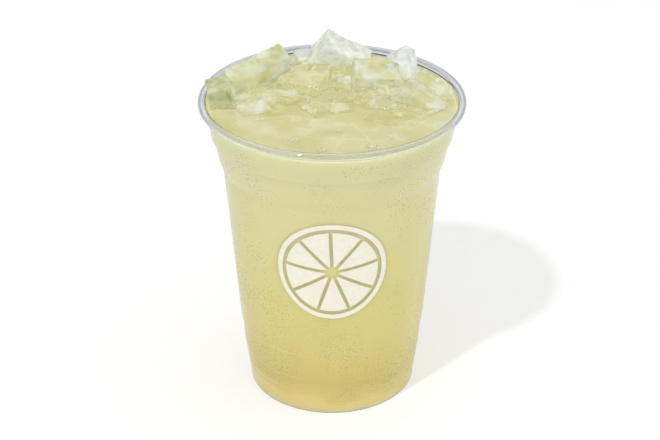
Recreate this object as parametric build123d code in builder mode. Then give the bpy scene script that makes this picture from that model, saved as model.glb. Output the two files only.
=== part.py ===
# Clear plastic cold-drink cup of cloudy lemonade with chunks of ice, standing upright.
# Millimetres, +Z up, origin at the middle of the foot on the surface the cup stands on.
import os
from math import cos, radians, sin
from typing import NamedTuple

from build123d import *

# Cup
cup_height = 118.5        # foot to the top of the rolled rim
rim_radius = 49.0         # outside of the rolled rim
wall = 0.45               # formed sheet, the same all over

bead_diameter = 2.9       # rolled rim, outside
bead_wrap = 290.0         # degrees of roll, from the wall up, over and back under

# Stacking bands: depth below the rim and step in from the wall's top radius
band_fillet = 0.9
upper_band_depth = 13.5
upper_band_draft = 1.95   # how much narrower the band is at its lower end
ledge_height = 0.8
ledge_inset = 0.95
lower_band_depth = 22.9
lower_band_draft = 1.75
shoulder_depth = 26.4
shoulder_inset = 1.45

# Foot: an upright skirt and rings that each step out a little
foot_radius = 31.7
skirt_lean = 0.1          # the skirt is this much narrower at its top
ring_heights = (5.2, 9.1, 15.2, 26.3)
ring_steps = (0.8, 0.37, 0.47, 0.5)
ring_rise = 0.9           # height over which a ring steps out
ring_draft = 0.07         # radius gained per millimetre between rings
ring_fillet = 0.5

# Underside: pushed up inside the ring that the cup stands on
foot_land = 1.4           # flat width of the standing ring
foot_round = 0.6
push_up = 4.6             # height of the raised bottom, at its underside
push_up_lean = 2.6        # how far in its slope goes

# Drink
fill_depth = 4.5          # lemonade's surface below the top of the rim

# Ice
ice_wall_gap = 0.4        # ice to the inside of the cup
ice_rim_gap = 0.4         # ice lying over the rim, above it
ice_overhang = 1.5        # ice stays this far inside the rim's outside


class Chunk(NamedTuple):
    """A broken block of ice: a tapered box, turned and leaning, with broken-off corners."""

    name: str
    length: float
    width: float
    height: float
    taper: float          # size of the upper end over the size of the lower end
    reach: float          # middle's distance from the axis over the drink's radius
    bearing: float        # direction of the middle, degrees from +X
    rise: float           # middle's height above the drink
    lean: float           # degrees the block's own upright leans from +Z
    lean_to: float        # direction it leans in, degrees from +X
    turn: float           # turn of the block about its own upright
    breaks: tuple = ()    # corners (x, y, z signs) and the share of the corner broken off


chunks = (
    Chunk("ice_slab_left", 27.5, 9.0, 19.0, 0.92, 0.70, 151.5, 4.6, 31, -78, 38,
          ((-1, -1, 1, 0.22), (1, 1, 1, 0.10))),
    Chunk("ice_peak_back", 23.0, 11.5, 17.0, 0.86, 0.785, 86.0, 2.4, 33, -33, -3,
          ((1, -1, 1, 0.16),)),
    Chunk("ice_shard_right", 11.0, 7.0, 19.0, 0.94, 0.836, 45.5, 1.0, 54, 97, -38,
          ((-1, 1, 1, 0.18),)),
    Chunk("ice_block_right", 19.5, 13.5, 15.0, 0.90, 0.560, 51.0, 0.6, 18, -75, 2,
          ((1, 1, 1, 0.20),)),
    Chunk("ice_block_left", 19.5, 17.0, 15.0, 0.90, 0.410, 121.0, -0.3, 11, -124, -21,
          ((-1, 1, 1, 0.22),)),
    Chunk("ice_wedge_mid", 10.5, 14.5, 16.0, 0.52, 0.185, 60.0, 0.2, 16, -88, 4),
    Chunk("ice_ridge_right", 20.5, 9.5, 14.0, 0.92, 0.690, 4.0, -1.1, 27, -45, -22,
          ((-1, 1, 1, 0.15),)),
    Chunk("ice_wall_right", 17.0, 9.5, 14.0, 0.90, 0.800, 15.5, 0.3, 31, -38, -18,
          ((1, 1, 1, 0.15),)),
    Chunk("ice_corner_left", 10.5, 12.5, 14.5, 0.86, 0.880, 178.0, 2.3, 14, -143, 6,
          ((1, -1, 1, 0.20),)),
    Chunk("ice_low_left", 14.0, 11.0, 12.0, 0.85, 0.640, 186.0, -3.2, 17, -60, 24,
          ((1, 1, 1, 0.15),)),
    Chunk("ice_low_right", 13.0, 10.0, 12.0, 0.80, 0.420, 2.0, -3.6, 13, -110, -14,
          ((-1, 1, 1, 0.15),)),
    Chunk("ice_chip_back", 9.0, 8.0, 12.0, 0.80, 0.840, 107.0, 0.4, 20, -60, 30),
)

# Worked out from the sizes above
bead_radius = bead_diameter / 2
bead_centre = (rim_radius - bead_radius, cup_height - bead_radius)
wall_top_radius = bead_centre[0] - bead_radius + wall   # outside of the wall below the bead
drink_level = cup_height - fill_depth
drink_radius = wall_top_radius - wall


def cup_stations():
    """Outside of the wall from the skirt's foot to the bead: (radius, height, fillet)."""
    stations = [(foot_radius, 0.0, foot_round)]
    radius = foot_radius - skirt_lean
    below = 0.0
    for height, step in zip(ring_heights, ring_steps):
        if below:
            radius += ring_draft * (height - below)
        stations.append((radius, height, ring_fillet))
        radius += step
        below = height + ring_rise
        stations.append((radius, below, ring_fillet))
    upper_band = wall_top_radius - upper_band_draft
    lower_band = upper_band - ledge_inset
    band_foot = lower_band - lower_band_draft
    shoulder = band_foot - shoulder_inset
    ledge_depth = upper_band_depth + ledge_height
    stations += [
        (shoulder, cup_height - shoulder_depth, band_fillet),
        (band_foot, cup_height - lower_band_depth, band_fillet),
        (lower_band, cup_height - ledge_depth, ring_fillet),
        (upper_band, cup_height - upper_band_depth, ring_fillet),
        (wall_top_radius, bead_centre[1], 0.0),
    ]
    return stations


def wall_points(inset):
    """Corners of the wall's line, moved in by inset from the outside, foot to bead."""
    return [(radius - inset, height) for radius, height, _ in cup_stations()]


def bottom_points(lift):
    """The pushed-up bottom, from the standing ring to the axis, lifted off its underside."""
    land_end = foot_radius - foot_round - foot_land
    slope_top = land_end - push_up_lean
    return [(land_end - lift / 2, lift), (slope_top - lift / 2, push_up + lift), (0.0, push_up + lift)]


wall_fillets = [fillet_size for _, _, fillet_size in cup_stations()][1:-1]


def cavity(clearance, top):
    """Solid filling the inside of the cup up to top, with clearance to the wall and bottom."""
    inset = wall + clearance
    corners = wall_points(inset)
    corners[0] = (corners[0][0], inset)
    with BuildPart() as filling:
        with BuildSketch(Plane.XZ):
            with BuildLine():
                side = FilletPolyline(*corners, radius=wall_fillets)
                Polyline(side @ 1, (corners[-1][0], top), (0.0, top),
                         *reversed(bottom_points(inset)), side @ 0)
            make_face()
        revolve(axis=Axis.Z)
    return filling.part


# Cup: one formed sheet with a rolled rim
with BuildPart() as cup:
    with BuildSketch(Plane.XZ):
        with BuildLine():
            outer_corners = wall_points(0.0)
            outer_corners[0] = (foot_radius, foot_round)
            inner_corners = wall_points(wall)
            inner_corners[0] = (foot_radius - wall, wall)
            land_start = (foot_radius - foot_round, 0.0)
            RadiusArc(land_start, outer_corners[0], -foot_round)
            outside = FilletPolyline(*outer_corners, radius=wall_fillets)
            inside = FilletPolyline(*inner_corners, radius=wall_fillets)
            Line(outside @ 1, inside @ 1)
            Polyline(inside @ 0, *bottom_points(wall), *reversed(bottom_points(0.0)), land_start)
        make_face()
    revolve(axis=Axis.Z)
    # The sheet goes up from the wall, over, and back under itself
    with BuildSketch(Plane.XZ):
        with BuildLine():
            outer_roll = CenterArc(bead_centre, bead_radius, 180, -bead_wrap)
            inner_roll = CenterArc(bead_centre, bead_radius - wall, 180, -bead_wrap)
            Line(outer_roll @ 0, inner_roll @ 0)
            Line(outer_roll @ 1, inner_roll @ 1)
        make_face()
    revolve(axis=Axis.Z)
cup.part.label = "cup"


# Room for ice: inside the cup, and a little over the rim above it
clear_of_rim = cup_height + ice_rim_gap
with BuildPart() as ice_room:
    add(cavity(ice_wall_gap, clear_of_rim))
    with BuildSketch(Plane.XY.offset(clear_of_rim)):
        Circle(rim_radius - ice_overhang)
    extrude(amount=max(chunk.height for chunk in chunks))


def chunk_plane(chunk):
    """Workplane at the chunk's middle: its z leans, its x is turned about that z."""
    lean, lean_to = radians(chunk.lean), radians(chunk.lean_to)
    reach, bearing = chunk.reach * drink_radius, radians(chunk.bearing)
    middle = Vector(reach * cos(bearing), reach * sin(bearing), drink_level + chunk.rise)
    upright = Vector(sin(lean) * cos(lean_to), sin(lean) * sin(lean_to), cos(lean))
    level = Vector(-sin(lean_to), cos(lean_to), 0)
    turn = radians(chunk.turn - chunk.lean_to - 90)
    along = level * cos(turn) + upright.cross(level) * sin(turn)
    return Plane(origin=middle, x_dir=along, z_dir=upright)


def break_plane(chunk, place, corner):
    """Plane across a corner of the chunk, with the broken-off side above it."""
    x_sign, y_sign, z_sign, share = corner
    corner_point = Vector(x_sign * chunk.length, y_sign * chunk.width, z_sign * chunk.height) / 2
    normal = Vector(x_sign / chunk.length, y_sign / chunk.width, z_sign / chunk.height)
    middle_of_break = normal.normalized() * (corner_point.dot(normal.normalized()) * (1 - share))
    outward = place.from_local_coords(normal) - place.origin
    return Plane(origin=place.from_local_coords(middle_of_break), z_dir=outward)


# Ice: each chunk stops where it meets the cup or a chunk made before it
made_ice = []
for chunk in chunks:
    place = chunk_plane(chunk)
    with BuildPart() as ice:
        with BuildSketch(place.offset(-chunk.height / 2)):
            Rectangle(chunk.length, chunk.width)
        with BuildSketch(place.offset(chunk.height / 2)):
            Rectangle(chunk.length * chunk.taper, chunk.width * chunk.taper)
        loft()
        for corner in chunk.breaks:
            split(bisect_by=break_plane(chunk, place, corner), keep=Keep.BOTTOM)
        add(ice_room.part, mode=Mode.INTERSECT)
        for earlier in made_ice:
            add(earlier, mode=Mode.SUBTRACT)
    ice.part.label = chunk.name
    made_ice.append(ice.part)

# Lemonade: fills the cup up to its level, round the ice
with BuildPart() as lemonade:
    add(cavity(0.0, cup_height))
    split(bisect_by=Plane.XY.offset(drink_level), keep=Keep.BOTTOM)
    for piece in made_ice:
        add(piece, mode=Mode.SUBTRACT)
lemonade.part.label = "lemonade"

os.makedirs("parts", exist_ok=True)
for piece in (cup.part, lemonade.part, *made_ice):
    export_step(piece, f"parts/{piece.label}.step")
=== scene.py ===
import math
import random

import bmesh
import bpy
from mathutils import Euler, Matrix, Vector, noise
from mathutils.bvhtree import BVHTree


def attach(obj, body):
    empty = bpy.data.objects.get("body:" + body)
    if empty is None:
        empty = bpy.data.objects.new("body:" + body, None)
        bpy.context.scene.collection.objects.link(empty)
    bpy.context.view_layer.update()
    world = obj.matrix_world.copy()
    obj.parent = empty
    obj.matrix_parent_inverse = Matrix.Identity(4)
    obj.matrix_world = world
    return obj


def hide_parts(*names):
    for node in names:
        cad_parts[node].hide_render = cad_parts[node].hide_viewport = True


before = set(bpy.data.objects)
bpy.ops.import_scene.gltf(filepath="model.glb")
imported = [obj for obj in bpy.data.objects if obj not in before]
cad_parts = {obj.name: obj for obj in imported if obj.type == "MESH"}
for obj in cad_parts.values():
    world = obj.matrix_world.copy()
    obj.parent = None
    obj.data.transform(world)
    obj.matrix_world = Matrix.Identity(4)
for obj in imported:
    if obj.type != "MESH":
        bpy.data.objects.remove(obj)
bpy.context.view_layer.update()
scene = bpy.context.scene
print("frame loaded:", len(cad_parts), "nodes")

millimetre = 0.001


def srgb(hexText):
    # hex as a painter writes it, turned to the linear values that shaders take
    values = [int(hexText[i:i + 2], 16) / 255 for i in (1, 3, 5)]
    linear = [v / 12.92 if v <= 0.04045 else ((v + 0.055) / 1.055) ** 2.4 for v in values]
    return (*linear, 1.0)


def addNode(tree, kind, settings=None, inputs=None, links=None, stops=()):
    # settings are the node's own properties, inputs its socket values, links the outputs that its
    # sockets take, where a node stands for its first output, stops a colour ramp's (place, colour)
    node = tree.nodes.new(kind)
    for name, value in (settings or {}).items():
        setattr(node, name, value)
    for name, value in (inputs or {}).items():
        node.inputs[name].default_value = value
    for name, source in (links or {}).items():
        tree.links.new(getattr(source, "outputs", [source])[0], node.inputs[name])
    for number, (place, colour) in enumerate(stops):
        elements = node.color_ramp.elements
        element = elements[number] if number < 2 else elements.new(place)
        element.position, element.color = place, colour
    return node


def newMaterial(name):
    # the material, its tree, and the place in metres that its patterns read
    material = bpy.data.materials.new(name)
    material.use_nodes = True
    tree = material.node_tree
    tree.nodes.clear()
    return material, tree, addNode(tree, "ShaderNodeTexCoord").outputs["Object"]


def finishMaterial(tree, shader):
    addNode(tree, "ShaderNodeOutputMaterial", links={"Surface": shader})


def scaleFor(size):
    # scale of a texture whose features are this many mm across
    return 1 / (size * millimetre)


def anyOf(tree, outputs):
    # 1 where at least one of the outputs is 1
    found = outputs[0]
    for output in outputs[1:]:
        found = addNode(tree, "ShaderNodeMath", {"operation": "MAXIMUM"},
                        links={0: found, 1: output})
    return found


def lettingLightThrough(tree, shader, tint, thinness=None):
    # lamps and soft light reach what is behind the clear stuff without being bent,
    # and where thinness is 1 it can't be seen at all
    path = addNode(tree, "ShaderNodeLightPath").outputs
    unseen = [path["Is Shadow Ray"], path["Is Diffuse Ray"]] + ([thinness] if thinness else [])
    clear = addNode(tree, "ShaderNodeBsdfTransparent", inputs={"Color": srgb(tint)})
    return addNode(tree, "ShaderNodeMixShader",
                   links={0: anyOf(tree, unseen), 1: shader, 2: clear})


def meshPiece(name, vertices, faces, smooth=True):
    mesh = bpy.data.meshes.new(name)
    mesh.from_pydata(vertices, [], faces)
    mesh.validate()
    mesh.update()
    piece = bpy.data.objects.new(name, mesh)
    scene.collection.objects.link(piece)
    for polygon in mesh.polygons:
        polygon.use_smooth = smooth
    return piece


def bakeModifiers(piece):
    # the finished mesh takes the place of the one with live modifiers
    graph = bpy.context.evaluated_depsgraph_get()
    graph.update()
    mesh = bpy.data.meshes.new_from_object(piece.evaluated_get(graph))
    piece.modifiers.clear()
    old = piece.data
    piece.data = mesh
    bpy.data.meshes.remove(old)
    mesh.validate()
    for polygon in mesh.polygons:
        polygon.use_smooth = True
    return piece


def growingTree(name, sockets):
    # a tree with geometry in and out, and further inputs given as name: kind
    tree = bpy.data.node_groups.new(name, "GeometryNodeTree")
    tree.interface.new_socket("Geometry", in_out="OUTPUT", socket_type="NodeSocketGeometry")
    for socket, kind in {"Geometry": "Geometry", **sockets, "Material": "Material"}.items():
        tree.interface.new_socket(socket, in_out="INPUT", socket_type="NodeSocket" + kind)
    return tree, addNode(tree, "NodeGroupInput").outputs


def finishGrowing(tree, instances, material):
    real = addNode(tree, "GeometryNodeRealizeInstances", links={"Geometry": instances})
    painted = addNode(tree, "GeometryNodeSetMaterial",
                      links={"Geometry": real, "Material": material})
    addNode(tree, "NodeGroupOutput", links={"Geometry": painted})


def grownPiece(name, tree, vertices, faces, values):
    # a plain mesh that a node tree has grown on the given faces
    piece = meshPiece(name, vertices, faces)
    growing = piece.modifiers.new("grown", "NODES")
    growing.node_group = tree
    sockets = {item.name: item.identifier for item in tree.interface.items_tree
               if item.item_type == "SOCKET" and item.in_out == "INPUT"}
    for socket, value in values.items():
        growing[sockets[socket]] = value
    return bakeModifiers(piece)


def roundedLine(points, radii, steps):
    # corners of an open line of (radius, height) points as arcs of the given radii
    line = [points[0]]
    for before, corner, after, radius in zip(points, points[1:], points[2:], radii):
        c = Vector(corner)
        u = (Vector(before) - c).normalized()
        v = (Vector(after) - c).normalized()
        half = u.angle(v) / 2
        reach = radius / math.tan(half)
        centre = c + (u + v).normalized() * (radius / math.sin(half))
        start, end = c + u * reach - centre, c + v * reach - centre
        for step in range(steps + 1):
            spoke = start.slerp(end, step / steps) * radius
            line.append(tuple(centre + spoke))
    line.append(points[-1])
    return line


def arcLine(centre, radius, fromAngle, toAngle, steps):
    turn = (toAngle - fromAngle) / steps
    angles = [math.radians(fromAngle + turn * i) for i in range(steps + 1)]
    return [(centre[0] + radius * math.cos(a), centre[1] + radius * math.sin(a)) for a in angles]


def aroundAxis(radius, angle, height):
    # a point in metres, from a radius and a height in millimetres
    return (radius * math.cos(angle) * millimetre, radius * math.sin(angle) * millimetre,
            height * millimetre)


def turnedPiece(name, outline, segments):
    # lathe of an outline in millimetres whose first and last points lie on the axis
    inner, faces = outline[1:-1], []
    vertices = [(0, 0, outline[0][1] * millimetre)]
    for radius, height in inner:
        vertices += [aroundAxis(radius, 2 * math.pi * s / segments, height)
                     for s in range(segments)]
    vertices.append((0, 0, outline[-1][1] * millimetre))
    last = len(vertices) - 1
    for s in range(segments):
        following = (s + 1) % segments
        faces.append((0, 1 + following, 1 + s))
        for ring in range(len(inner) - 1):
            a = 1 + ring * segments
            b = a + segments
            faces.append((a + s, a + following, b + following, b + s))
        highest = last - segments
        faces.append((highest + s, highest + following, last))
    piece = meshPiece(name, vertices, faces)
    outward(piece.data)
    return piece


def outward(mesh):
    shape = bmesh.new()
    shape.from_mesh(mesh)
    bmesh.ops.recalc_face_normals(shape, faces=shape.faces)
    shape.to_mesh(mesh)
    shape.free()


# Camera: a long lens, looking down at the cup from just over half a metre
view = {
    "back": 0.60026, "side": -0.00076, "height": 0.39574,  # m from the middle of the foot
    "down": 28.73,  # degrees
    "lens": 98.57, "sensor": 36, "nearest": 10,  # mm, nothing nearer than the last is drawn
}
cameraData = bpy.data.cameras.new("camera")
cameraData.lens = view["lens"]
cameraData.sensor_width = view["sensor"]
cameraData.clip_start = view["nearest"] * millimetre
camera = bpy.data.objects.new("camera", cameraData)
camera.location = (view["side"], -view["back"], view["height"])
camera.rotation_euler = (math.radians(90 - view["down"]), 0, 0)
scene.collection.objects.link(camera)
scene.camera = camera

# Cup: sizes in millimetres, as the frame's cup has them
cupSizes = {
    "height": 118.5, "rimRadius": 49.0, "wall": 0.45,
    "beadDiameter": 2.9, "beadWrap": 290.0,
    "bandFillet": 0.9, "ringFillet": 0.5,
    "upperBandDepth": 13.5, "upperBandDraft": 1.95,
    "ledgeHeight": 0.8, "ledgeInset": 0.95,
    "lowerBandDepth": 22.9, "lowerBandDraft": 1.75,
    "shoulderDepth": 26.4, "shoulderInset": 1.45,
    "footRadius": 31.7, "skirtLean": 0.1,
    "ringHeights": (5.2, 9.1, 15.2, 26.3), "ringSteps": (0.8, 0.37, 0.47, 0.5),
    "ringRise": 0.9, "ringDraft": 0.07,
    "footLand": 1.4, "footRound": 0.6, "pushUp": 4.6, "pushUpLean": 2.6,
    "segments": 256, "cornerSteps": 4, "rollSteps": 30,
}
beadRadius = cupSizes["beadDiameter"] / 2
beadCentre = (cupSizes["rimRadius"] - beadRadius, cupSizes["height"] - beadRadius)
wallTopRadius = beadCentre[0] - beadRadius + cupSizes["wall"]


def wallCorners():
    # outside of the wall, foot to bead: (radius, height, fillet)
    c = cupSizes
    corners = [(c["footRadius"], c["footRound"], 0)]
    radius = c["footRadius"] - c["skirtLean"]
    below = 0
    for height, step in zip(c["ringHeights"], c["ringSteps"]):
        if below:
            radius += c["ringDraft"] * (height - below)
        corners.append((radius, height, c["ringFillet"]))
        radius += step
        below = height + c["ringRise"]
        corners.append((radius, below, c["ringFillet"]))
    upperBand = wallTopRadius - c["upperBandDraft"]
    lowerBand = upperBand - c["ledgeInset"]
    bandFoot = lowerBand - c["lowerBandDraft"]
    shoulder = bandFoot - c["shoulderInset"]
    ledgeDepth = c["upperBandDepth"] + c["ledgeHeight"]
    corners += [
        (shoulder, c["height"] - c["shoulderDepth"], c["bandFillet"]),
        (bandFoot, c["height"] - c["lowerBandDepth"], c["bandFillet"]),
        (lowerBand, c["height"] - ledgeDepth, c["ringFillet"]),
        (upperBand, c["height"] - c["upperBandDepth"], c["ringFillet"]),
        (wallTopRadius, beadCentre[1], 0),
    ]
    return corners


def wallLine(inset, foot):
    # the wall's rounded line, moved in by inset, starting at the foot point
    corners = wallCorners()
    points = [foot] + [(r - inset, h) for r, h, _ in corners[1:]]
    return roundedLine(points, [f for _, _, f in corners[1:-1]], cupSizes["cornerSteps"])


def bottomLine(lift):
    # pushed-up bottom from the standing ring to the axis
    c = cupSizes
    landEnd = c["footRadius"] - c["footRound"] - c["footLand"]
    slopeTop = landEnd - c["pushUpLean"]
    return [(landEnd - lift / 2, lift), (slopeTop - lift / 2, c["pushUp"] + lift),
            (0, c["pushUp"] + lift)]


def radiusAt(line, height):
    # radius of a rising line at a height
    for (r0, h0), (r1, h1) in zip(line, line[1:]):
        if h0 <= height <= h1 and h1 > h0:
            return r0 + (r1 - r0) * (height - h0) / (h1 - h0)
    return line[-1][0]


def makeCup():
    c = cupSizes
    wall = c["wall"]
    footArc = arcLine((c["footRadius"] - c["footRound"], c["footRound"]), c["footRound"], -90, 0,
                      c["cornerSteps"])
    rollEnd = 180 - c["beadWrap"]
    outline = list(reversed(bottomLine(0))) + footArc[:-1]
    outline += wallLine(0, footArc[-1])
    outline += arcLine(beadCentre, beadRadius - wall, 180, rollEnd, c["rollSteps"])[1:]
    outline += arcLine(beadCentre, beadRadius, rollEnd, 180, c["rollSteps"])
    outline += list(reversed(wallLine(wall, (c["footRadius"] - wall, wall))))[1:]
    outline += bottomLine(wall)
    return turnedPiece("cup_shell", outline, c["segments"])


# Clear plastic of the cup: faint waves, fog on its cold wall, painted shade lines across its rim
plasticLooks = {
    "wave": 1.111, "waveHeight": 0.2, "waveShare": 0.2,  # mm, mm, how much of it shows
    "patch": 22.22,  # mm, patches of fog and beads
    "clean": 0.03, "fogLeast": 0.05, "fogMost": 0.16,  # roughness of rim and cold wall
    "fogOver": 6.0,  # mm below the drink's level
    "bead": 0.6667, "beadTint": "#E4E7E2",  # mm
    "tintFrom": 0.8,  # mm inside the top of the wall
    "frontFrom": 12.0, "frontTo": 38.0,  # mm in front of the axis
    # painted shade: darker lines across the rolled rim, standing in for its shade and dark
    # reflections
    "sideRimPaintedShade": ((0.0, "#F5F6F8"), (1.0, "#BEC3CD"), (0.10, "#F5F6F8"), (0.14, "#BCBCAA"),
                 (0.18, "#BCBCAA"), (0.24, "#F6F7FA"), (0.76, "#F3F5F8"), (0.90, "#D8DCE3")),
    "frontRimPaintedShade": ((0.0, "#F8F8F8"), (1.0, "#FAFBF9"), (0.11, "#F8F8F8"), (0.14, "#F6F5EA"),
                  (0.17, "#F6F5EA"), (0.22, "#FCFCFA")),  # share of the rim's width, colour
}


def clearPlastic():
    # Thermoformed PET, clear: bright hard reflections, faint waviness from forming
    p = plasticLooks
    material, tree, place = newMaterial("clear formed PET")
    parts = addNode(tree, "ShaderNodeSeparateXYZ", links={"Vector": place})
    waves = addNode(tree, "ShaderNodeTexNoise",
                    inputs={"Scale": scaleFor(p["wave"]), "Detail": 2.0}, links={"Vector": place})
    patches = addNode(tree, "ShaderNodeTexNoise",
                      inputs={"Scale": scaleFor(p["patch"]), "Detail": 2.0},
                      links={"Vector": place})
    thickness = addNode(tree, "ShaderNodeMath", {"operation": "MULTIPLY"},
                        links={0: waves, 1: patches})
    bump = addNode(tree, "ShaderNodeBump",
                   inputs={"Strength": p["waveShare"], "Distance": p["waveHeight"] * millimetre},
                   links={"Height": thickness})
    # cold wall below the drink's level is fogged by condensation, the rim stays clean
    cold = addNode(tree, "ShaderNodeMapRange",
                   inputs={"From Min": drinkLevel * millimetre,
                           "From Max": (drinkLevel - p["fogOver"]) * millimetre},
                   links={"Value": parts.outputs["Z"]})
    fog = addNode(tree, "ShaderNodeMapRange",
                  inputs={"From Min": 0.35, "From Max": 0.65, "To Min": p["fogLeast"],
                          "To Max": p["fogMost"]},
                  links={"Value": patches})
    roughness = addNode(tree, "ShaderNodeMix", inputs={2: p["clean"]}, links={0: cold, 3: fog})
    # painted shade and painted reflection: the rolled rim is painted darker at its inner line and
    # its outer edge, where the sheet turns away
    flat = addNode(tree, "ShaderNodeVectorMath", {"operation": "MULTIPLY"}, inputs={1: (1, 1, 0)},
                   links={0: place})
    radius = addNode(tree, "ShaderNodeVectorMath", {"operation": "LENGTH"}, links={0: flat})
    acrossRim = addNode(tree, "ShaderNodeMapRange",
                        inputs={"From Min": (wallTopRadius - p["tintFrom"]) * millimetre,
                                "From Max": cupSizes["rimRadius"] * millimetre},
                        links={"Value": radius.outputs["Value"]})
    sideRimPaintedShade, frontRimPaintedShade = [
        addNode(tree, "ShaderNodeValToRGB", links={"Fac": acrossRim},
                stops=[(share, srgb(tone)) for share, tone in p[where]])
        for where in ("sideRimPaintedShade", "frontRimPaintedShade")]
    # in front the rim's painted shade lines are fainter than at the sides
    front = addNode(tree, "ShaderNodeMapRange", {"interpolation_type": "SMOOTHSTEP"},
                    inputs={"From Min": -p["frontFrom"] * millimetre,
                            "From Max": -p["frontTo"] * millimetre},
                    links={"Value": parts.outputs["Y"]})
    tint = addNode(tree, "ShaderNodeMix", {"data_type": "RGBA"},
                   links={0: front, 6: sideRimPaintedShade, 7: frontRimPaintedShade})
    # beads of condensation, drawn coarser than the real mist, darken patches of the cold wall
    beads = addNode(tree, "ShaderNodeTexNoise",
                    inputs={"Scale": scaleFor(p["bead"]), "Detail": 1.0}, links={"Vector": place})
    bead = addNode(tree, "ShaderNodeMapRange", inputs={"From Min": 0.48, "From Max": 0.62},
                   links={"Value": beads})
    patch = addNode(tree, "ShaderNodeMapRange", {"interpolation_type": "SMOOTHSTEP"},
                    inputs={"From Min": 0.46, "From Max": 0.6}, links={"Value": patches})
    beaded = addNode(tree, "ShaderNodeMath", {"operation": "MULTIPLY"}, links={0: bead, 1: patch})
    onCold = addNode(tree, "ShaderNodeMath", {"operation": "MULTIPLY"}, links={0: beaded, 1: cold})
    misted = addNode(tree, "ShaderNodeMix", {"data_type": "RGBA"}, inputs={7: srgb(p["beadTint"])},
                     links={0: onCold, 6: tint.outputs[2]})
    plastic = addNode(tree, "ShaderNodeBsdfPrincipled",
                      inputs={"IOR": 1.57, "Transmission Weight": 1.0},
                      links={"Base Color": misted.outputs[2], "Normal": bump,
                             "Roughness": roughness})
    finishMaterial(tree, lettingLightThrough(tree, plastic, "#F8FAFA"))
    return material


# Ice: each chunk starts from its frame node, then melts: rounded edges, scallops and pits
iceLooks = {
    "voxel": 0.5, "melt": 5,  # mm, rounds of smoothing
    "scallop": 1.0, "scallopSize": 8.0,  # mm, shallow bowls with ridges between
    "bowlReach": 0.75,  # share of a bowl's size
    "lowScallop": 0.3,  # mm, on ice that hardly stands out
    "shrink": 0.05,  # mm all over, so nothing stands proud
    "ripple": 3.333, "rippleHeight": 0.6,  # mm
    "lapFrom": 0.5, "lapTo": 1.5, "lapUneven": 1.6,  # mm over the drink
    "pit": 0.08, "pitSize": 1.9,  # mm
    "crazedPit": 0.45, "crazedSize": 1.3,  # mm, on the clear chunks, which broke most
    "patternStep": (7.3, 3.1, 5.7),  # each chunk has its own part of a pattern
    "clear": ("ice_peak_back", "ice_shard_right", "ice_chip_back"),
    "smooth": ("ice_slab_left", "ice_block_right", "ice_wall_right", "ice_ridge_right"),
    "sunken": ("ice_block_left",), "shaded": ("ice_corner_left",),
}
iceNodes = sorted(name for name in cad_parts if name.startswith("ice_"))


def meltMesh(piece, voxel, rounds):
    remesh = piece.modifiers.new("melt", "REMESH")
    remesh.mode = "VOXEL"
    remesh.voxel_size = voxel * millimetre
    smooth = piece.modifiers.new("soften", "SMOOTH")
    smooth.factor = 0.5
    smooth.iterations = rounds
    bakeModifiers(piece)


def weatherMesh(piece, seed, scallop, crazed):
    # scallops where the ice has melted, pits where it is crazed; only ever inwards
    pit, pitSize = iceLooks["pit"], iceLooks["pitSize"]
    if crazed:
        pit, pitSize = iceLooks["crazedPit"], iceLooks["crazedSize"]
    shift = Vector([seed * step for step in iceLooks["patternStep"]])
    mesh = piece.data
    normals = [v.normal.copy() for v in mesh.vertices]
    for vertex, normal in zip(mesh.vertices, normals):
        place = vertex.co / millimetre
        nearest = noise.voronoi(place / iceLooks["scallopSize"] + shift)[0][0]
        bowl = max(0.0, iceLooks["bowlReach"] - nearest) * scallop
        grain = max(0.0, noise.noise(place / pitSize + shift)) * pit
        vertex.co -= normal * (bowl + grain + iceLooks["shrink"]) * millimetre
    mesh.update()


def meltedIce(node, seed):
    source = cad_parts[node].data.copy()
    shape = bmesh.new()
    shape.from_mesh(source)
    bmesh.ops.remove_doubles(shape, verts=shape.verts, dist=0.00001)
    shape.to_mesh(source)
    shape.free()
    source.materials.clear()
    piece = bpy.data.objects.new(node + "_wet", source)
    scene.collection.objects.link(piece)
    meltMesh(piece, iceLooks["voxel"], iceLooks["melt"])
    weatherMesh(piece, seed, iceLooks["scallop"], node in iceLooks["clear"])
    return piece


# Further ice: smaller chunks packed between the big ones, all lengths in mm
moreIce = {
    "seed": 41, "count": 54, "tries": 60, "size": (12.0, 18.0),
    "above": (0.9, 2.1), "backRise": 2.0, "backOver": 30.0,  # over the drink, and more at the back
    "widest": 40.0, "front": -10.0, "back": 45.0, "spacing": 4.6, "wallGap": 1.2,
    "halfShare": (0.32, 0.6), "tilt": 0.3,  # share of the size, radians
    "sideBreak": 0.7, "topBreak": 0.8,  # least share left of a corner
    "voxel": 0.6, "deep": 4.0, "pattern": 31, "overlap": 0.05,
}
blockFaces = ((0, 2, 3, 1), (4, 5, 7, 6), (0, 1, 5, 4), (2, 6, 7, 3), (0, 4, 6, 2), (1, 3, 7, 5))


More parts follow.
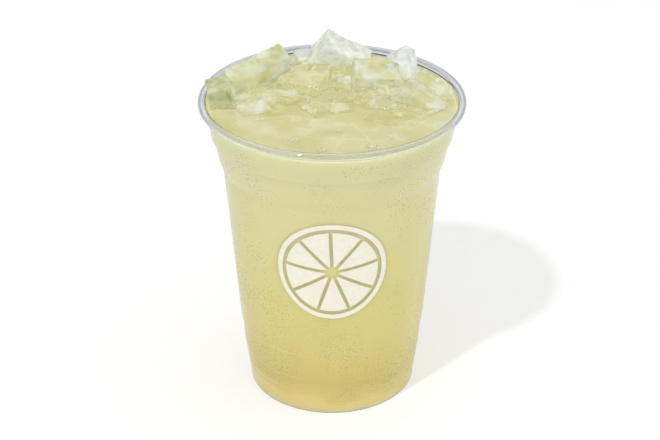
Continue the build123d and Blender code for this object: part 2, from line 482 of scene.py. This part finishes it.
def makeMoreIce(bigPieces):
    m = moreIce
    dice = random.Random(m["seed"])
    wall = wallLine(cupSizes["wall"], (cupSizes["footRadius"], cupSizes["wall"]))
    vertices, faces, placed = [], [], []

    for _ in range(m["count"]):
        size, above = dice.uniform(*m["size"]), dice.uniform(*m["above"])
        for _ in range(m["tries"]):
            radius = math.sqrt(dice.random()) * m["widest"]
            angle = dice.uniform(0, 2 * math.pi)
            x, y = radius * math.cos(angle), radius * math.sin(angle)
            apart = all(math.hypot(x - a, y - b) > m["spacing"] for a, b in placed)
            if m["front"] <= y <= m["back"] and apart:
                break
        placed.append((x, y))
        above += m["backRise"] * max(0, min(1, (y - m["front"]) / m["backOver"]))
        half = [size * dice.uniform(*m["halfShare"]) for _ in range(3)]
        tilts = [dice.uniform(-m["tilt"], m["tilt"]) for _ in range(2)]
        matrix = Euler([*tilts, dice.uniform(0, math.pi)]).to_matrix()
        corners = [matrix @ Vector((sx * half[0] * dice.uniform(m["sideBreak"], 1),
                                    sy * half[1] * dice.uniform(m["sideBreak"], 1),
                                    sz * half[2] * dice.uniform(m["topBreak"], 1)))
                   for sz in (-1, 1) for sy in (-1, 1) for sx in (-1, 1)]
        rise = drinkLevel + above - max(c.z for c in corners)
        first = len(vertices)
        for c in corners:
            px, py, pz = x + c.x, y + c.y, max(c.z + rise, drinkLevel - m["deep"])
            inside = min(1, (radiusAt(wall, pz) - m["wallGap"]) / max(math.hypot(px, py), 0.01))
            vertices.append((px * inside * millimetre, py * inside * millimetre, pz * millimetre))
        faces += [tuple(first + i for i in face) for face in blockFaces]

    piece = meshPiece("ice_between", vertices, faces)
    meltMesh(piece, m["voxel"], iceLooks["melt"])
    weatherMesh(piece, m["pattern"], iceLooks["lowScallop"], False)
    for big in bigPieces:
        cutAway(piece, big, -m["overlap"])
    return piece


def cutAway(piece, other, grow):
    # takes the other piece, grown by a little, out of this one
    cutter = other.copy()
    cutter.data = other.data.copy()
    scene.collection.objects.link(cutter)
    normals = [v.normal.copy() for v in cutter.data.vertices]
    for vertex, normal in zip(cutter.data.vertices, normals):
        vertex.co += normal * grow * millimetre
    cut = piece.modifiers.new("hole", "BOOLEAN")
    cut.operation = "DIFFERENCE"
    cut.solver = "MANIFOLD"
    cut.object = cutter
    bakeModifiers(piece)
    bpy.data.objects.remove(cutter)


def wetIce(name, look, seed):
    # Melting ice: milky and glossy under a film of water, with veils of trapped air,
    # lemonade-yellow low down
    material, tree, place = newMaterial(name)
    move = addNode(tree, "ShaderNodeMapping", inputs={"Location": (seed * 0.13, seed * 0.07, 0)},
                   links={"Vector": place})
    parts = addNode(tree, "ShaderNodeSeparateXYZ", links={"Vector": place})
    above = addNode(tree, "ShaderNodeMapRange",
                    inputs={"From Min": (drinkLevel - 1) * millimetre,
                            "From Max": (drinkLevel + look["yellowTo"]) * millimetre},
                    links={"Value": parts.outputs["Z"]})
    veils = addNode(tree, "ShaderNodeTexNoise",
                    inputs={"Scale": scaleFor(look["veilSize"]), "Detail": 3.0, "Distortion": 0.3},
                    links={"Vector": move})
    veilShade = addNode(tree, "ShaderNodeValToRGB", links={"Fac": veils},
                        stops=[(0.38, srgb(look["low"])), (0.62, srgb(look["veil"])),
                               (0.5, srgb(look["mid"]))])
    colour = addNode(tree, "ShaderNodeMix", {"data_type": "RGBA"}, inputs={6: srgb(look["drink"])},
                     links={0: above, 7: veilShade})
    ripple = addNode(tree, "ShaderNodeTexNoise",
                     inputs={"Scale": scaleFor(iceLooks["ripple"]), "Detail": 2.0},
                     links={"Vector": move})
    bump = addNode(tree, "ShaderNodeBump",
                   inputs={"Strength": look["bump"],
                           "Distance": iceLooks["rippleHeight"] * millimetre},
                   links={"Height": ripple})
    ice = addNode(tree, "ShaderNodeBsdfPrincipled",
                  inputs={"Roughness": 0.03, "IOR": 1.31, "Transmission Weight": 1.0,
                          "Base Color": srgb("#F8FAF6")},
                  links={"Normal": bump})
    air = addNode(tree, "ShaderNodeBsdfPrincipled",
                  inputs={"Roughness": 0.25, "IOR": 1.31, "Subsurface Weight": 1.0,
                          "Subsurface Radius": (1.0, 1.0, 0.9), "Subsurface Scale": 0.006},
                  links={"Base Color": colour.outputs[2], "Normal": bump})
    cloudy = addNode(tree, "ShaderNodeMapRange",
                     inputs={"From Min": 0.42, "From Max": 0.66, "To Min": look["clearest"],
                             "To Max": look["cloudiest"]},
                     links={"Value": veils})
    both = addNode(tree, "ShaderNodeMixShader", links={0: cloudy, 1: ice, 2: air})
    # drink laps over the ice unevenly at its foot, so the ice comes out of it without a hard line
    lap = addNode(tree, "ShaderNodeMath", {"operation": "MULTIPLY_ADD"},
                  inputs={1: iceLooks["lapUneven"] * millimetre},
                  links={0: veils, 2: parts.outputs["Z"]})
    lapMiddle = drinkLevel + iceLooks["lapUneven"] / 2
    lapped = addNode(tree, "ShaderNodeMapRange", {"interpolation_type": "SMOOTHSTEP"},
                     inputs={"From Min": (lapMiddle + iceLooks["lapFrom"]) * millimetre,
                             "From Max": (lapMiddle + iceLooks["lapTo"]) * millimetre,
                             "To Min": 1.0, "To Max": 0.0},
                     links={"Value": lap})
    finishMaterial(tree, lettingLightThrough(tree, both, "#FBFBF8", lapped))
    return material


# colours of the veils of air from dark to pale, colour at the drink and mm up to which it shows,
# mm across a veil, strength of the ripples, share of air where the ice is clearest and cloudiest
iceFinishes = {
    "milky": {"low": "#E5E3BA", "mid": "#E7EAD4", "veil": "#EAF1EC", "drink": "#E3E2B4",
              "yellowTo": 2.0, "veilSize": 7.0, "bump": 0.25, "clearest": 0.15, "cloudiest": 0.55},
    "smooth": {"low": "#E6E3B2", "mid": "#E6ECDA", "veil": "#E9F2EE", "drink": "#E4E6C2",
               "yellowTo": 2.0, "veilSize": 9.0, "bump": 0.15, "clearest": 0.2, "cloudiest": 0.55},
    "clear": {"low": "#E6EFF6", "mid": "#EEF5FA", "veil": "#F6FAFE", "drink": "#E6F0F2",
              "yellowTo": 1.0, "veilSize": 5.0, "bump": 0.3, "clearest": 0.45, "cloudiest": 0.7},
    "sunken": {"low": "#DEDBA4", "mid": "#E1E0B4", "veil": "#E7E9CE", "drink": "#DEDCA8",
               "yellowTo": 1.0, "veilSize": 6.0, "bump": 0.15, "clearest": 0.15, "cloudiest": 0.5},
    "shaded": {"low": "#B0B684", "mid": "#B8BE94", "veil": "#C4CCAE", "drink": "#BABD8C",
               "yellowTo": 1.0, "veilSize": 5.0, "bump": 0.15, "clearest": 0.35, "cloudiest": 0.6},
}


# Lemonade: fills the cup to its level, rises a little at the wall and round the ice
drink = {
    "fillDepth": 4.5,  # mm below the rim's top
    "intoWall": 0.10, "insideWall": 0.08,  # mm from the wall's two faces
    "evenOver": 4.0, "evenSteps": 8, "evenFall": 3.0,  # mm, samples, how fast they fade
    "sideStep": 0.45, "sideFrom": 0.05,  # mm
    "wallRise": 0.7, "wallReach": 1.3,  # mm, meniscus at the cup
    "iceRise": 0.6, "iceReach": 1.2,  # mm, meniscus at the ice
    "ripple": 0.12, "rippleSize": 9.0,  # mm
    "film": 0.3, "filmSize": 11.0, "filmReach": 0.55,  # mm, swells over sunken ice
    "filmBend": 0.25, "bendSize": 7.0, "filmSeed": 7,  # share of a swell, mm
    "calmEdge": 3.0, "stillEdge": 0.3,  # mm from the wall
    "topBelow": 0.5, "topTilt": 0.3,  # mm, least upward normal of the open top
    "segments": 256, "topRings": 80,
    "glow": 6.0,  # mm that light wanders inside it
    # colour by share of the depth: the bright band at the foot is painted light from the table
    # below, and the paling towards the top is partly melt water, partly painted light
    "shades": ((0.0, "#EBD495"), (1.0, "#D6D3A7"), (0.035, "#EBD490"), (0.065, "#DBC97E"),
               (0.12, "#D4C277"), (0.18, "#D9C87B"), (0.29, "#DDCF85"), (0.45, "#DDD28B"),
               (0.6, "#DED697"), (0.86, "#DDD8A5")),  # share of the depth, colour
    "cloud": 18.18, "drift": 0.10,  # mm, share of the depth
    "facet": 10.526, "bend": 7.692, "bendBy": 11.0,  # mm, ice seen just under the surface
    "facetPatch": 16.667,  # mm
    # the open top's colours are painted darker than the side's, painted shade against the stronger
    # light that falls on it; the light edges are painted highlights
    "facetShades": ((0.15, "#C9C691"), (0.85, "#D0CFA6"), (0.5, "#CDCB9A")),
    "plainShade": "#C6C289", "edgeHighlight": "#DFDFC0",
    "edgeHighlightShare": ((0.0, "#A0A0A0"), (0.12, "#000000")),  # how strong a facet's painted highlight edge is
}
drinkLevel = cupSizes["height"] - drink["fillDepth"]


def drinkSide(rim):
    # inside the wall's thickness, with the wall's steps evened out
    wall = cupSizes["wall"]
    inner = wallLine(wall, (cupSizes["footRadius"] - wall, wall))
    reach, steps = drink["evenOver"], drink["evenSteps"]
    shifts = [reach * (k / steps - 1) for k in range(2 * steps + 1)]
    weights = [math.exp(-drink["evenFall"] * (shift / reach) ** 2) for shift in shifts]
    line, height = [], wall + drink["sideFrom"]
    while height < rim - drink["sideStep"] / 2:
        near = [radiusAt(inner, min(max(height + shift, wall), rim)) for shift in shifts]
        even = sum(n * w for n, w in zip(near, weights)) / sum(weights) + wall / 2
        here = radiusAt(inner, height)
        least, most = here + drink["intoWall"], here + wall - drink["insideWall"]
        line.append((min(max(even, least), most), height))
        height += drink["sideStep"]
    return line


def makeLemonade(icePieces):
    rim = drinkLevel + drink["wallRise"]
    side = drinkSide(rim)
    edge = side[-1][0]
    outline = list(reversed(bottomLine(cupSizes["wall"]))) + side + [(edge, rim)]
    rings = drink["topRings"]
    for ring in range(1, rings):
        radius = edge * (1 - ring / rings)
        climb = drink["wallRise"] * math.exp((radius - edge) / drink["wallReach"])
        outline.append((radius, drinkLevel + climb))
    outline.append((0, drinkLevel))
    piece = turnedPiece("lemonade_body", outline, drink["segments"])
    trees = [BVHTree.FromPolygons([v.co for v in ice.data.vertices],
                                  [p.vertices for p in ice.data.polygons]) for ice in icePieces]
    lowest = (drinkLevel - drink["topBelow"]) * millimetre
    limit = drink["iceReach"] * 4 * millimetre
    noise.seed_set(drink["filmSeed"])
    for vertex in piece.data.vertices:
        toWall = edge - vertex.co.xy.length / millimetre
        if vertex.co.z < lowest or toWall < drink["stillEdge"]:
            continue
        found = [tree.find_nearest(vertex.co, limit)[3] for tree in trees]
        nearest = min([limit] + [distance for distance in found if distance is not None])
        rise = drink["iceRise"] * math.exp(-nearest / (drink["iceReach"] * millimetre))
        place = vertex.co / millimetre
        wave = noise.noise(place / drink["rippleSize"]) * drink["ripple"]
        bend = noise.noise_vector(place / drink["bendSize"]) * drink["filmBend"]
        swell = drink["filmReach"] - noise.voronoi(place / drink["filmSize"] + bend)[0][0]
        wave += max(0, swell) * drink["film"]
        vertex.co.z += (rise + wave) * min(1, toWall / drink["calmEdge"]) * millimetre
    piece.data.materials.clear()
    for part in ("open top", "behind the wall"):
        piece.data.materials.append(cloudyLemonade(part))
    for polygon in piece.data.polygons:
        openTop = polygon.normal.z > drink["topTilt"] and polygon.center.z > lowest
        polygon.material_index = 0 if openTop else 1
    return piece


def cloudyLemonade(part):
    # Cloudy lemonade: pulp scatters light through it, so it glows evenly; paler at the top, partly
    # where ice melts and partly as painted light, and painted brighter at its foot as painted
    # light from below
    material, tree, place = newMaterial("cloudy lemonade, " + part)
    parts = addNode(tree, "ShaderNodeSeparateXYZ", links={"Vector": place})
    height = addNode(tree, "ShaderNodeMapRange",
                     inputs={"From Min": 0.0, "From Max": drinkLevel * millimetre},
                     links={"Value": parts.outputs["Z"]})
    clouds = addNode(tree, "ShaderNodeTexNoise",
                     inputs={"Scale": scaleFor(drink["cloud"]), "Detail": 2.0},
                     links={"Vector": place})
    drift = addNode(tree, "ShaderNodeMath", {"operation": "MULTIPLY_ADD"},
                    inputs={1: drink["drift"], 2: -drink["drift"] / 2}, links={0: clouds})
    mixed = addNode(tree, "ShaderNodeMath", {"operation": "ADD"}, links={0: height, 1: drift})
    colour = addNode(tree, "ShaderNodeValToRGB", links={"Fac": mixed},
                     stops=[(share, srgb(tone)) for share, tone in drink["shades"]])
    gloss = {"Roughness": 0.6, "IOR": 1.05}  # wet against the wall, so nothing mirrors there
    # the open top takes the painted facets, the painted highlights and the darker painted shade
    if part == "open top":
        gloss = {"Roughness": 0.1, "IOR": 1.333}
        colour = sunkenIceAndPaintedLight(tree, place)
    liquid = addNode(tree, "ShaderNodeBsdfPrincipled",
                     inputs={"Subsurface Weight": 1.0, "Subsurface Radius": (0.9, 0.9, 0.75),
                             "Subsurface Scale": drink["glow"] * millimetre, **gloss},
                     links={"Base Color": colour})
    finishMaterial(tree, liquid)
    return material


def sunkenIceAndPaintedLight(tree, place):
    # ice just below shows as paler facets, with painted highlights along their edges, all painted
    # darker than the side as painted shade
    bend = addNode(tree, "ShaderNodeTexNoise",
                   inputs={"Scale": scaleFor(drink["bend"]), "Detail": 2.0},
                   links={"Vector": place})
    bent = addNode(tree, "ShaderNodeVectorMath", {"operation": "MULTIPLY_ADD"},
                   inputs={1: [drink["bendBy"] * millimetre] * 3},
                   links={0: bend.outputs["Color"], 2: place})
    facets, edges = [
        addNode(tree, "ShaderNodeTexVoronoi", {"feature": feature},
                inputs={"Scale": scaleFor(drink["facet"])}, links={"Vector": bent})
        for feature in ("F1", "DISTANCE_TO_EDGE")]
    facetShade, edgeHighlightShare = [
        addNode(tree, "ShaderNodeValToRGB", links={"Fac": pattern},
                stops=[(share, srgb(tone)) for share, tone in drink[shades]])
        for pattern, shades in ((facets.outputs["Color"], "facetShades"), (edges, "edgeHighlightShare"))]
    where = addNode(tree, "ShaderNodeTexNoise",
                    inputs={"Scale": scaleFor(drink["facetPatch"]), "Detail": 2.0},
                    links={"Vector": place})
    share = addNode(tree, "ShaderNodeMapRange", inputs={"From Min": 0.40, "From Max": 0.6},
                    links={"Value": where})
    withFacets = addNode(tree, "ShaderNodeMix", {"data_type": "RGBA"},
                         inputs={6: srgb(drink["plainShade"])}, links={0: share, 7: facetShade})
    edgeHere = addNode(tree, "ShaderNodeMath", {"operation": "MULTIPLY"},
                       links={0: share, 1: edgeHighlightShare})
    withEdges = addNode(tree, "ShaderNodeMix", {"data_type": "RGBA"},
                        inputs={7: srgb(drink["edgeHighlight"])},
                        links={0: edgeHere, 6: withFacets.outputs[2]})
    return withEdges.outputs[2]


# Emblem: a plain lemon wheel printed in cream ink on the front
emblem = {
    "radius": 20.5, "rind": 1.9, "gap": 1.5, "wedgeGap": 1.3, "core": 2.6,  # mm
    "centreHeight": 66.0, "thickness": 0.06, "weld": 0.02, "grain": 1.4286,  # mm
    "wedges": 9, "firstTurn": 12.0, "sharpFrom": 40.0,  # degrees
    "rindGrid": (3, 16), "wedgeGrid": (12, 12),  # faces in and round
}


def sliceTree():
    # one slice, turned round the middle as often as asked
    tree, given = growingTree("slices in a round", {"Slices": "Int", "First Turn": "Float"})
    points = addNode(tree, "GeometryNodePoints", links={"Count": given["Slices"]})
    number = addNode(tree, "GeometryNodeInputIndex")
    sector = addNode(tree, "ShaderNodeMath", {"operation": "DIVIDE"}, inputs={0: 2 * math.pi},
                     links={1: given["Slices"]})
    angle = addNode(tree, "ShaderNodeMath", {"operation": "MULTIPLY_ADD"},
                    links={0: number, 1: sector, 2: given["First Turn"]})
    turn = addNode(tree, "ShaderNodeCombineXYZ", links={"Z": angle})
    inRound = addNode(tree, "GeometryNodeInstanceOnPoints",
                      links={"Points": points, "Instance": given["Geometry"], "Rotation": turn})
    finishGrowing(tree, inRound, given["Material"])
    return tree


def makeEmblem():
    vertices, faces = [], []
    wall = wallLine(0, (cupSizes["footRadius"], cupSizes["footRound"]))
    sector = 2 * math.pi / emblem["wedges"]
    rind = emblem["radius"] - emblem["rind"]

    def patch(inner, edge, gap, across, along):
        # flat grid over one sector between two radii; the gap beside it stays equally wide
        first = len(vertices)
        for i in range(across + 1):
            radius = inner + (edge - inner) * i / across
            start = math.asin(gap / radius)
            for j in range(along + 1):
                angle = start + (sector - 2 * start) * j / along
                vertices.append(aroundAxis(radius, angle, 0))
        for i in range(across):
            for j in range(along):
                a = first + i * (along + 1) + j
                faces.append((a, a + along + 1, a + along + 2, a + 1))

    patch(rind, emblem["radius"], 0, *emblem["rindGrid"])
    patch(emblem["core"], rind - emblem["gap"], emblem["wedgeGap"] / 2, *emblem["wedgeGrid"])
    piece = grownPiece("lemon_wheel_print", sliceTree(), vertices, faces,
                       {"Slices": emblem["wedges"], "Material": creamInk(),
                        "First Turn": math.radians(emblem["firstTurn"])})
    # flat print laid onto the tapered wall, in front
    middle = radiusAt(wall, emblem["centreHeight"])
    for vertex in piece.data.vertices:
        across, up, _ = vertex.co / millimetre
        height = emblem["centreHeight"] + up
        radius = radiusAt(wall, height) + emblem["thickness"]
        angle = across / middle - math.pi / 2
        vertex.co = aroundAxis(radius, angle, height)
    weld = piece.modifiers.new("weld", "WELD")
    weld.merge_threshold = emblem["weld"] * millimetre
    thick = piece.modifiers.new("ink", "SOLIDIFY")
    thick.thickness = emblem["thickness"] * millimetre
    thick.offset = -1
    bakeModifiers(piece)
    outward(piece.data)
    piece.data.set_sharp_from_angle(angle=math.radians(emblem["sharpFrom"]))
    return piece


def creamInk():
    # Screen-printed cream ink: matt, thin, a little uneven
    material, tree, place = newMaterial("cream print ink")
    grain = addNode(tree, "ShaderNodeTexNoise",
                    inputs={"Scale": scaleFor(emblem["grain"]), "Detail": 2.0},
                    links={"Vector": place})
    colour = addNode(tree, "ShaderNodeValToRGB", links={"Fac": grain},
                     stops=[(0.3, srgb("#E6E1CE")), (0.7, srgb("#EAE7D8"))])
    ink = addNode(tree, "ShaderNodeBsdfPrincipled", inputs={"Roughness": 0.45, "IOR": 1.5},
                  links={"Base Color": colour})
    finishMaterial(tree, ink)
    return material


# Small things strewn by one tree: condensation on the wall, bubbles on the drink
condensation = {
    "density": 800000.0,  # drops per square metre where it is thickest
    "smallest": 0.12, "largest": 0.26,  # mm, radius, coarser than the real mist
    "flatness": 0.45, "patch": 18.0, "patchFloor": 0.50, "seed": 5,
    "lowest": 8.0, "highest": 112.0, "clearOfPrint": 26.0,  # mm
    "steps": 40, "turns": 96, "tremble": 0.5,  # faces up and round the wall, mm
}
bubbles = {
    "density": 1500000.0, "smallest": 0.14, "largest": 0.42, "flatness": 0.9, "patch": 1.5,
    "patchFloor": 0.30, "seed": 9, "corners": 10, "mottle": 1.111,
    "clusters": ((-13.8, -27.6, 2.2), (19.4, -16.8, 2.0), (21.0, -25.6, 1.8), (14.0, -33.0, 2.6),
                 (-26.0, -12.0, 1.6), (3.0, -21.0, 1.5), (31.0, -14.0, 1.8),
                 (-4.0, -36.0, 1.7)),  # x, y, radius in mm
}


def scatterTree():
    names = ("Density", "Smallest", "Largest", "Flatness", "Patch Scale", "Patch Floor")
    tree, given = growingTree("strewn drops", {**dict.fromkeys(names, "Float"), "Seed": "Int"})
    patches = addNode(tree, "ShaderNodeTexNoise", inputs={"Detail": 2.0},
                      links={"Scale": given["Patch Scale"]})
    edge = addNode(tree, "ShaderNodeMath", {"operation": "ADD"}, inputs={1: 0.12},
                   links={0: given["Patch Floor"]})
    thick = addNode(tree, "ShaderNodeMapRange",
                    links={"Value": patches, "From Min": given["Patch Floor"], "From Max": edge})
    density = addNode(tree, "ShaderNodeMath", {"operation": "MULTIPLY"},
                      links={0: thick, 1: given["Density"]})
    points = addNode(tree, "GeometryNodeDistributePointsOnFaces",
                     links={"Mesh": given["Geometry"], "Density": density, "Seed": given["Seed"]})
    size = addNode(tree, "FunctionNodeRandomValue", {"data_type": "FLOAT"},
                   links={2: given["Smallest"], 3: given["Largest"], "Seed": given["Seed"]})
    high = addNode(tree, "ShaderNodeMath", {"operation": "MULTIPLY"},
                   links={0: size.outputs[1], 1: given["Flatness"]})
    shape = addNode(tree, "ShaderNodeCombineXYZ",
                    links={"X": size.outputs[1], "Y": size.outputs[1], "Z": high})
    drop = addNode(tree, "GeometryNodeMeshIcoSphere", inputs={"Subdivisions": 1, "Radius": 1.0})
    rounded = addNode(tree, "GeometryNodeSetShadeSmooth", links={"Geometry": drop})
    strewn = addNode(tree, "GeometryNodeInstanceOnPoints",
                     links={"Points": points, "Instance": rounded,
                            "Rotation": points.outputs["Rotation"], "Scale": shape})
    finishGrowing(tree, strewn, given["Material"])
    return tree


def strewing(sizes, material):
    return {"Density": sizes["density"], "Smallest": sizes["smallest"] * millimetre,
            "Largest": sizes["largest"] * millimetre, "Flatness": sizes["flatness"],
            "Patch Scale": scaleFor(sizes["patch"]), "Patch Floor": sizes["patchFloor"],
            "Seed": sizes["seed"], "Material": material}


def makeCondensation(tree):
    c = condensation
    wall = wallLine(0, (cupSizes["footRadius"], cupSizes["footRound"]))
    steps, turns = c["steps"], c["turns"]
    vertices, faces = [], []
    for i in range(steps + 1):
        height = c["lowest"] + (c["highest"] - c["lowest"]) * i / steps
        radius = radiusAt(wall, height)
        vertices += [aroundAxis(radius, 2 * math.pi * j / turns, height) for j in range(turns)]
    printHeight = emblem["centreHeight"]
    printPlace = Vector((0, -radiusAt(wall, printHeight), printHeight)) * millimetre
    for i in range(steps):
        for j in range(turns):
            a, b = i * turns + j, i * turns + (j + 1) % turns
            if (Vector(vertices[a]) - printPlace).length > c["clearOfPrint"] * millimetre:
                faces.append((a, b, b + turns, a + turns))
    return grownPiece("condensation", tree, vertices, faces, strewing(c, water()))


def makeBubbles(tree):
    level = (drinkLevel + drink["film"] * 0.6) * millimetre
    corners = bubbles["corners"]
    vertices, faces = [], []
    for x, y, radius in bubbles["clusters"]:
        faces.append(tuple(range(len(vertices), len(vertices) + corners)))
        for k in range(corners):
            angle = 2 * math.pi * k / corners
            vertices.append(((x + radius * math.cos(angle)) * millimetre,
                             (y + radius * math.sin(angle)) * millimetre, level))
    return grownPiece("bubbles", tree, vertices, faces, strewing(bubbles, bubbleSkin()))


def bubbleSkin():
    # Foam bubbles: pale wet beads, each with its own small highlight; their pale colour is partly
    # foam and partly a painted highlight
    material, tree, place = newMaterial("pale foam bubbles")
    patches = addNode(tree, "ShaderNodeTexNoise", inputs={"Scale": scaleFor(bubbles["mottle"])},
                      links={"Vector": place})
    colour = addNode(tree, "ShaderNodeValToRGB", links={"Fac": patches},
                     stops=[(0.4, srgb("#DEDCB4")), (0.6, srgb("#F4F4E6"))])
    skin = addNode(tree, "ShaderNodeBsdfPrincipled", inputs={"Roughness": 0.05, "IOR": 1.4},
                   links={"Base Color": colour})
    finishMaterial(tree, skin)
    return material


def water():
    # Condensed water: clear, mirror-bright where it bulges, bends what is behind it
    material, tree, place = newMaterial("water drops, condensed")
    tremble = addNode(tree, "ShaderNodeTexNoise",
                      inputs={"Scale": scaleFor(condensation["tremble"])}, links={"Vector": place})
    bump = addNode(tree, "ShaderNodeBump", inputs={"Strength": 0.1, "Distance": 0.0001},
                   links={"Height": tremble})
    drop = addNode(tree, "ShaderNodeBsdfPrincipled",
                   inputs={"Base Color": srgb("#FBFCFC"), "Roughness": 0.02, "IOR": 1.333,
                           "Transmission Weight": 1.0},
                   links={"Normal": bump})
    finishMaterial(tree, lettingLightThrough(tree, drop, "#FBFCFC"))
    return material


# Light: soft key from the front left, pale room all round, white table
light = {
    "keyDirection": (-0.329, -0.487, 0.809), "keyDistance": 2.2, "keyAim": 0.06,  # m, aim's height
    "keySize": 0.12, "keyPower": 18.5,  # m, W
    "roomLeft": 0.52, "roomRight": 1.12,  # soft light from each side
    "behindCamera": "#C6CBD1",  # what the rim mirrors from the camera's side
    "farBand": "#72767A",  # and low down from the far side
    "bandRise": ((0.02, "#000000"), (0.42, "#000000"), (0.10, "#FFFFFF"), (0.25, "#FFFFFF")),
    "tableHalf": 3.0,  # m
    "tableGlow": 0.41,  # share of the table that is plain white
    "mirroredTable": "#CDD0C8",  # what the cup mirrors from it
}
seeingRays = ("Is Camera Ray", "Is Glossy Ray", "Is Transmission Ray")


def makeLight():
    lampData = bpy.data.lights.new("key lamp", "AREA")
    lampData.shape = "DISK"
    lampData.size = light["keySize"]
    lampData.energy = light["keyPower"]
    lamp = bpy.data.objects.new("key lamp", lampData)
    direction = Vector(light["keyDirection"])
    lamp.location = direction * light["keyDistance"] + Vector((0, 0, light["keyAim"]))
    lamp.rotation_euler = direction.to_track_quat("Z", "Y").to_euler()
    scene.collection.objects.link(lamp)

    world = bpy.data.worlds.new("pale room")
    world.use_nodes = True
    tree = world.node_tree
    tree.nodes.clear()
    direction = addNode(tree, "ShaderNodeTexCoord").outputs["Generated"]
    parts = addNode(tree, "ShaderNodeSeparateXYZ", links={"Vector": direction})
    across = addNode(tree, "ShaderNodeMapRange",
                     inputs={"From Min": -0.8, "From Max": 0.8, "To Min": light["roomLeft"],
                             "To Max": light["roomRight"]},
                     links={"Value": parts.outputs["X"]})
    room = addNode(tree, "ShaderNodeBackground", inputs={"Color": srgb("#FFFFFF")},
                   links={"Strength": across})
    farSide = addNode(tree, "ShaderNodeMapRange", inputs={"From Min": -0.35, "From Max": 0.05},
                      links={"Value": parts.outputs["Y"]})
    mirrored = addNode(tree, "ShaderNodeMix", {"data_type": "RGBA"},
                       inputs={6: srgb(light["behindCamera"]), 7: srgb("#FFFFFF")},
                       links={0: farSide})
    # a grey band low on the far side, which the rolled rim mirrors as a thin dark line
    path = addNode(tree, "ShaderNodeLightPath").outputs
    band = addNode(tree, "ShaderNodeValToRGB", links={"Fac": parts.outputs["Z"]},
                   stops=[(height, srgb(tone)) for height, tone in light["bandRise"]])
    mirroredBand = addNode(tree, "ShaderNodeMath", {"operation": "MULTIPLY"},
                           links={0: band, 1: path["Is Glossy Ray"]})
    withBand = addNode(tree, "ShaderNodeMix", {"data_type": "RGBA"},
                       inputs={7: srgb(light["farBand"])},
                       links={0: mirroredBand, 6: mirrored.outputs[2]})
    seenShade = addNode(tree, "ShaderNodeBackground", inputs={"Strength": 1.0},
                        links={"Color": withBand.outputs[2]})
    both = addNode(tree, "ShaderNodeMixShader",
                   links={0: anyOf(tree, [path[ray] for ray in seeingRays]), 1: room,
                          2: seenShade})
    addNode(tree, "ShaderNodeOutputWorld", links={"Surface": both})
    scene.world = world


def makeTable():
    # Matt white card: shows soft shadows, and is white where none fall
    half = light["tableHalf"]
    corners = [(x * half, y * half, 0) for x, y in ((-1, -1), (1, -1), (1, 1), (-1, 1))]
    table = meshPiece("table", corners, [(0, 1, 2, 3)], smooth=False)
    material, tree, _ = newMaterial("matt white card")
    path = addNode(tree, "ShaderNodeLightPath").outputs
    share = addNode(tree, "ShaderNodeMath", {"operation": "MULTIPLY"},
                    inputs={1: light["tableGlow"]},
                    links={0: anyOf(tree, [path[ray] for ray in seeingRays])})
    matt = addNode(tree, "ShaderNodeBsdfDiffuse", inputs={"Color": srgb("#FAFAFA")})
    # the cup's outline mirrors the table, and takes a soft dark edge from it
    mirrored = addNode(tree, "ShaderNodeMix", {"data_type": "RGBA"},
                       inputs={6: srgb("#FFFFFF"), 7: srgb(light["mirroredTable"])},
                       links={0: path["Is Glossy Ray"]})
    glow = addNode(tree, "ShaderNodeEmission", inputs={"Strength": 1.0},
                   links={"Color": mirrored.outputs[2]})
    both = addNode(tree, "ShaderNodeMixShader", links={0: share, 1: matt, 2: glow})
    finishMaterial(tree, both)
    table.data.materials.append(material)


scene.view_settings.view_transform = "Standard"
makeLight()
makeTable()
print("light and table made")

cup = makeCup()
cup.data.materials.append(clearPlastic())
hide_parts("cup")
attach(cup, "root")
print("cup made:", len(cup.data.polygons), "faces")

icePieces = []
for number, node in enumerate(iceNodes):
    chunk = meltedIce(node, number)
    special = [f for f in ("clear", "smooth", "sunken", "shaded") if node in iceLooks[f]]
    finish = special[0] if special else "milky"
    chunk.data.materials.append(wetIce("wet ice, " + node[4:], iceFinishes[finish], number))
    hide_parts(node)
    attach(chunk, "root")
    icePieces.append(chunk)
print("ice made:", sum(len(p.data.polygons) for p in icePieces), "faces")

between = makeMoreIce(icePieces)
between.data.materials.clear()
between.data.materials.append(wetIce("wet ice, between", iceFinishes["sunken"], 30))
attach(between, "root")
icePieces.append(between)
print("further ice made:", len(between.data.polygons), "faces")

lemonade = makeLemonade(icePieces)
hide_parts("lemonade")
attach(lemonade, "root")
print("lemonade made:", len(lemonade.data.polygons), "faces")

tree = scatterTree()
drops = makeCondensation(tree)
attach(drops, "root")
froth = makeBubbles(tree)
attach(froth, "root")
print("drops and bubbles made:", len(drops.data.polygons), len(froth.data.polygons), "faces")

wheel = makeEmblem()
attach(wheel, "root")
print("print made")
